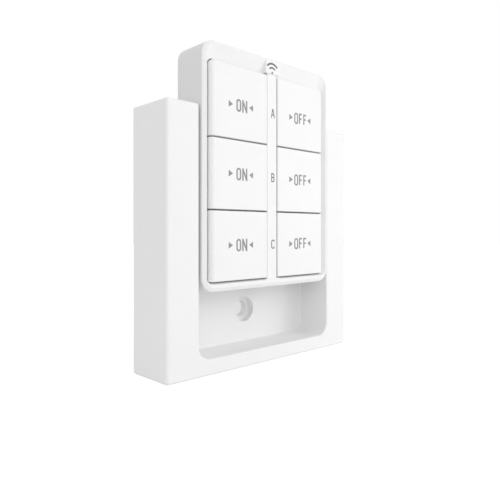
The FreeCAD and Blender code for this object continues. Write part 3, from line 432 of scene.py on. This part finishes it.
def ink_piece(name, body, node, place, ink, draw):
    """A printed mark: flat shapes with the ink's thickness, riding on what carries them.

    The ink starts a little under the surface, so that no face of it lies in the surface.
    """
    mesh = bmesh.new()
    draw(mesh, face_at(node, *place) + INK_SUNK)
    bmesh.ops.recalc_face_normals(mesh, faces=mesh.faces)
    flat = list(mesh.faces)
    for face in flat:
        if face.normal.y > 0:
            face.normal_flip()
    result = bmesh.ops.extrude_face_region(mesh, geom=flat)
    moved = [item for item in result["geom"] if isinstance(item, bmesh.types.BMVert)]
    bmesh.ops.translate(mesh, verts=moved, vec=(0, -INK - INK_SUNK, 0))
    bmesh.ops.recalc_face_normals(mesh, faces=mesh.faces)
    piece = add_object(name, mesh, ink)
    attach(piece, body)


# Letters on a grid one cap height tall: the width, then each stroke as its points
# (x, z, corner radius) and whether it is closed

GLYPHS = {
    "O": (0.42, [([(0, 0, 0.21), (0.42, 0, 0.21), (0.42, 1, 0.21), (0, 1, 0.21)], True)]),
    "N": (0.46, [([(0, -0.08, 0), (0, 1.08, 0)], False),
                 ([(0.46, -0.08, 0), (0.46, 1.08, 0)], False),
                 ([(0, 1, 0), (0.46, 0, 0)], False)]),
    "F": (0.36, [([(0, 0, 0), (0, 1, 0), (0.36, 1, 0)], False),
                 ([(0, 0.52, 0), (0.3, 0.52, 0)], False)]),
    "A": (0.52, [([(0, -0.08, 0), (0.23, 1.05, 0)], False),
                 ([(0.52, -0.08, 0), (0.29, 1.05, 0)], False),
                 ([(0.1, 0.3, 0), (0.42, 0.3, 0)], False)]),
    "B": (0.43, [([(0, 0.53, 0), (0, 1, 0), (0.4, 1, 0.2), (0.4, 0.53, 0.2)], True),
                 ([(0, 0, 0), (0, 0.53, 0), (0.43, 0.53, 0.23), (0.43, 0, 0.23)], True)]),
    "C": (0.43, [([(0.43, 0.76, 0), (0.43, 1, 0.21), (0, 1, 0.21), (0, 0, 0.21), (0.43, 0, 0.21),
                   (0.43, 0.24, 0)], False)]),
}


def write(mesh, front, text, left, foot, height, width, gap):
    """Draw letters side by side, with strokes of one width inside the cap height.

    Each stroke lies a hair over the last, so that no two share a plane where they cross.
    """
    tall = height - width
    x = left + width / 2
    for letter in text:
        advance, strokes = GLYPHS[letter]
        for layer, (points, closed) in enumerate(strokes):
            placed = [(x + px * tall, foot + width / 2 + pz * tall, radius * tall)
                      for px, pz, radius in points]
            ribbon(mesh, round_corners(placed, closed), width, closed, front - layer * INK_LAYER)
        x += advance * tall + width + gap


# Where the legends lie: each word's left end, and the base and tip of its two triangles, in
# millimetres from the middle

KEY_LEGENDS = {
    "on": ("ON", -16.82, [(-20.1, -18.3), (-9.4, -11.1)]),
    "off": ("OFF", 11.16, [(8.52, 10.35), (20.1, 18.4)]),
}
LEGEND_HEIGHT = 4.2 * MM
STROKE = 0.6 * MM
LETTER_GAP = 0.46 * MM
MARK_HEIGHT = 2.2 * MM

# The strip's row letters, and how far each row's legends lie over the middle of its keys

ROW_MIDDLE = 0.5 * MM
ROW_HEIGHT = 3.2 * MM
ROW_STROKE = 0.38 * MM
ROW_RAISE = {"a": -0.3 * MM, "b": 0.33 * MM, "c": 0.19 * MM}

# The radio-wave sign: its arcs as radius and width, all round one dot

WAVE_MIDDLE = (-0.3 * MM, 58.7 * MM)
WAVE_ARCS = [(1.8 * MM, 0.58 * MM), (3.2 * MM, 0.66 * MM)]
WAVE_HALF_ANGLE = math.radians(49)
WAVE_STEPS = 16
WAVE_DOT = 0.4 * MM
DOT_CORNERS = 20


def middle_height(row):
    """Height of the middle of a row's legends, from the plunger under the key."""
    low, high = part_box("plunger_on_" + row)
    return (low.z + high.z) / 2 + ROW_RAISE[row]


def print_key(name, row):
    """A word between two small triangles that point at it."""
    text, left, marks = KEY_LEGENDS[name]
    middle = middle_height(row)

    def draw(mesh, front):
        write(mesh, front, text, left * MM, middle - LEGEND_HEIGHT / 2, LEGEND_HEIGHT, STROKE,
              LETTER_GAP)
        for base, tip in marks:
            filled(mesh, [(base * MM, middle - MARK_HEIGHT / 2),
                          (base * MM, middle + MARK_HEIGHT / 2), (tip * MM, middle)], front)

    key = "key_%s_%s" % (name, row)
    ink_piece("legend_%s_%s" % (name, row), key, key, (left * MM, middle), KEY_INK, draw)


def print_row_letter(row):
    """A row's letter, on the centre strip."""
    letter = row.upper()
    foot = middle_height(row) - ROW_HEIGHT / 2
    width = GLYPHS[letter][0] * (ROW_HEIGHT - ROW_STROKE) + ROW_STROKE

    def draw(mesh, front):
        write(mesh, front, letter, ROW_MIDDLE - width / 2, foot, ROW_HEIGHT, ROW_STROKE, 0)

    ink_piece("row_letter_" + row, "remote", "front_cover", (ROW_MIDDLE, foot), STRIP_INK, draw)


def print_wave_sign():
    """Two arcs over a dot, on the tab above the centre strip."""
    x, z = WAVE_MIDDLE

    def draw(mesh, front):
        for radius, width in WAVE_ARCS:
            turns = [WAVE_HALF_ANGLE * (1 - 2 * i / WAVE_STEPS) for i in range(WAVE_STEPS + 1)]
            path = [(x - radius * math.sin(turn), z + radius * math.cos(turn)) for turn in turns]
            ribbon(mesh, path, width, False, front)
        filled(mesh, circle_points(WAVE_MIDDLE, WAVE_DOT, DOT_CORNERS), front)

    ink_piece("wave_sign", "remote", "front_cover", WAVE_MIDDLE, STRIP_INK, draw)


def print_legends():
    """Everything that is printed on the remote."""
    for row in ROW_RAISE:
        print_key("on", row)
        print_key("off", row)
        print_row_letter(row)
    print_wave_sign()


# Case screws: the frame's screws with the cross recess in their heads that a driver fits

SCREW_HEAD = 1.9 * MM
SCREW_HEAD_HEIGHT = 1.1 * MM
SCREW_EDGE = 0.4 * MM
SCREW_SHANK = 1.0 * MM
SCREW_TURNS = 48
EDGE_STEPS = 6
CROSS_REACH = 1.2 * MM
CROSS_HALF = 0.3 * MM
CROSS_DEPTH = 0.9 * MM
CROSS_TAPER = 0.4


def ring(mesh, centre, radius, y):
    """Corners of a circle round a screw's axis."""
    return [mesh.verts.new((x, y, z)) for x, z in circle_points(centre, radius, SCREW_TURNS)]


def cross_outline(mesh, centre, scale, y):
    """The twelve corners of a cross round a screw's axis."""
    a, b = CROSS_HALF * scale, CROSS_REACH * scale
    corners = [(a, a), (a, b), (-a, b), (-a, a), (-b, a), (-b, -a), (-a, -a), (-a, -b), (a, -b),
               (a, -a), (b, -a), (b, a)]
    return [mesh.verts.new((centre[0] + x, y, centre[1] + z)) for x, z in corners]


def join_outlines(mesh, first, second, smooth=False):
    """A band of faces between two closed outlines of as many corners."""
    for i in range(len(first)):
        following = (i + 1) % len(first)
        face = mesh.faces.new((first[i], first[following], second[following], second[i]))
        face.smooth = smooth


def add_screw(mesh, centre, tip, rear):
    """One screw whose head looks to the rear: shank, head with a rounded edge, and the recess."""
    under_head = rear - SCREW_HEAD_HEIGHT
    levels = [(SCREW_SHANK, tip), (SCREW_SHANK, under_head), (SCREW_HEAD, under_head)]
    straight = len(levels)
    for step in range(EDGE_STEPS + 1):
        turn = math.radians(90) * step / EDGE_STEPS
        levels.append((SCREW_HEAD - SCREW_EDGE * (1 - math.cos(turn)),
                       rear - SCREW_EDGE * (1 - math.sin(turn))))
    rings = [ring(mesh, centre, radius, y) for radius, y in levels]
    mesh.faces.new(rings[0])
    for i in range(len(rings) - 1):
        join_outlines(mesh, rings[i], rings[i + 1], smooth=i >= straight)
    mouth = cross_outline(mesh, centre, 1, rear)
    foot = cross_outline(mesh, centre, CROSS_TAPER, rear - CROSS_DEPTH)
    join_outlines(mesh, mouth, foot)
    mesh.faces.new(foot)
    edges = [mesh.edges.get((outline[i - 1], outline[i]))
             for outline in (rings[-1], mouth) for i in range(len(outline))]
    bmesh.ops.triangle_fill(mesh, edges=edges, use_beauty=True)


def make_cross_screws():
    """The four case screws, where the frame has them."""
    low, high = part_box("case_screws")
    mesh = bmesh.new()
    for x in (low.x + SCREW_HEAD, high.x - SCREW_HEAD):
        for z in (low.z + SCREW_HEAD, high.z - SCREW_HEAD):
            add_screw(mesh, (x, z), low.y, high.y)
    bmesh.ops.recalc_face_normals(mesh, faces=mesh.faces)
    screws = add_object("cross_screws", mesh, MATERIALS["screw_steel"])
    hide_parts("case_screws")
    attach(screws, "remote")


# Floor, a grey patch of painted shade behind the lower screw hole, and light. GLOW is how bright
# each looks to the camera, without lighting the object, and SKY_LIGHT is the strength of the soft
# light from all round.

FLOOR_UNDER = 0.1 * MM
FLOOR_HALF = 1.5
FLOOR_GLOW = 0.68
PATCH_MIDDLE = (0, -26 * MM)
PATCH_BEHIND = 0.3 * MM
PATCH_RADIUS = 3.4 * MM
PATCH_CORNERS = 32
PATCH_GLOW = 0.74
SKY_LIGHT = 0.66


def seen_directly(material, strength):
    """A strength for camera, mirror and see-through rays, and none for the light that falls."""
    rays = add_node(material, "LightPath").outputs
    direct = calculate(material, "MAXIMUM", rays["Is Camera Ray"], rays["Is Glossy Ray"])
    direct = calculate(material, "MAXIMUM", direct, rays["Is Transmission Ray"])
    return calculate(material, "MULTIPLY", direct, strength)


def glowing(name, colour, roughness):
    """A dull surface that can glow white, and its shader."""
    material = new_material(name, colour, roughness)
    shader = material.node_tree.nodes["Principled BSDF"]
    shader.inputs["Specular IOR Level"].default_value = 0.0
    shader.inputs["Emission Color"].default_value = (1, 1, 1, 1)
    return material, shader


def make_floor():
    """A white floor that keeps the soft shadow of the switch."""
    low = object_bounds()[0][2] - FLOOR_UNDER
    mesh = bmesh.new()
    corners = [(-FLOOR_HALF, -FLOOR_HALF), (FLOOR_HALF, -FLOOR_HALF), (FLOOR_HALF, FLOOR_HALF),
               (-FLOOR_HALF, FLOOR_HALF)]
    mesh.faces.new([mesh.verts.new((x, y, low)) for x, y in corners])
    material, shader = glowing("floor_white", WHITE, 0.9)
    link(material, seen_directly(material, FLOOR_GLOW), shader.inputs["Emission Strength"])
    floor = add_object("floor", mesh, material)


def make_painted_shade_patch():
    """A grey glowing disc of painted shade that shows through the lower screw hole, clear to light
    and from behind.
    """
    mesh = bmesh.new()
    filled(mesh, circle_points(PATCH_MIDDLE, PATCH_RADIUS, PATCH_CORNERS), PATCH_BEHIND)
    for face in mesh.faces:
        face.normal_update()
        if face.normal.y > 0:
            face.normal_flip()
    material, shader = glowing("painted_shade_patch_grey", (0.0, 0.0, 0.0), 1.0)
    # Painted shade: the disc glows grey to the camera, standing in for the shade seen through the
    # hole.
    shader.inputs["Emission Strength"].default_value = PATCH_GLOW
    side = add_node(material, "NewGeometry")
    seen = calculate(material, "SUBTRACT", seen_directly(material, 1.0),
                     side.outputs["Backfacing"])
    seen.node.use_clamp = True
    clear = add_node(material, "BsdfTransparent")
    choice = add_node(material, "MixShader")
    link(material, seen, choice.inputs[0])
    link(material, clear.outputs[0], choice.inputs[1])
    link(material, shader.outputs[0], choice.inputs[2])
    output = material.node_tree.nodes["Material Output"]
    link(material, choice.outputs[0], output.inputs["Surface"])
    patch = add_object("painted_shade_patch", mesh, material)


def make_world():
    """White behind the object, and an even soft light from all round."""
    world = bpy.data.worlds.new("studio")
    world.use_nodes = True
    background = world.node_tree.nodes["Background"]
    background.inputs["Color"].default_value = (1, 1, 1, 1)
    strength = add_node(world, "MapRange")
    strength.inputs["To Min"].default_value = SKY_LIGHT
    strength.inputs["To Max"].default_value = 1.0
    link(world, seen_directly(world, 1.0), strength.inputs["Value"])
    link(world, strength.outputs["Result"], background.inputs["Strength"])
    bpy.context.scene.world = world


# Square soft boxes: name, place and side in metres, power in watts. The key light is on the right,
# the fill on the left, one is close on the right, and one lights the left side.

SOFTBOXES = [
    ("key_softbox", (0.545, -0.944, 0.708), 0.9, 2.9),
    ("fill_softbox", (-0.4, -0.8, 0.5), 0.6, 1.25),
    ("side_softbox", (0.26, -0.26, 0.02), 0.2, 0.22),
    ("left_softbox", (-0.9, 0.05, 0.05), 0.5, 0.6),
]
LAMP_AIM = Vector((0, -0.01, 0))


def make_lamps():
    """The soft boxes, all turned to the object."""
    for name, place, side, power in SOFTBOXES:
        data = bpy.data.lights.new(name, "AREA")
        data.shape = "SQUARE"
        data.size = side
        data.energy = power
        lamp = bpy.data.objects.new(name, data)
        lamp.location = place
        lamp.rotation_euler = (lamp.location - LAMP_AIM).to_track_quat("Z", "Y").to_euler()
        bpy.context.scene.collection.objects.link(lamp)


# Camera, fitted to the edges of the holder in the photograph. Lens, sensor and place are in
# millimetres, the turn in degrees, and the shift in widths of the picture.

LENS = 37.339
SENSOR = 36
SHIFT = (-0.04516, -0.03805)
CAMERA_PLACE = (-128.498, -150.331, 3.104)
CAMERA_TURN = -44.651
NEAREST_SEEN = 10 * MM


def make_camera():
    """A level camera at the photograph's place."""
    data = bpy.data.cameras.new("camera")
    data.sensor_width = SENSOR
    data.lens = LENS
    data.shift_x, data.shift_y = SHIFT
    data.clip_start = NEAREST_SEEN
    camera = bpy.data.objects.new("camera", data)
    camera.location = [value * MM for value in CAMERA_PLACE]
    camera.rotation_euler = (math.radians(90), 0, math.radians(CAMERA_TURN))
    bpy.context.scene.collection.objects.link(camera)
    bpy.context.scene.camera = camera
    bpy.context.scene.view_settings.view_transform = "Standard"


make_camera()
dress_nodes()
make_cross_screws()
print_legends()
make_floor()
make_painted_shade_patch()
make_world()
make_lamps()
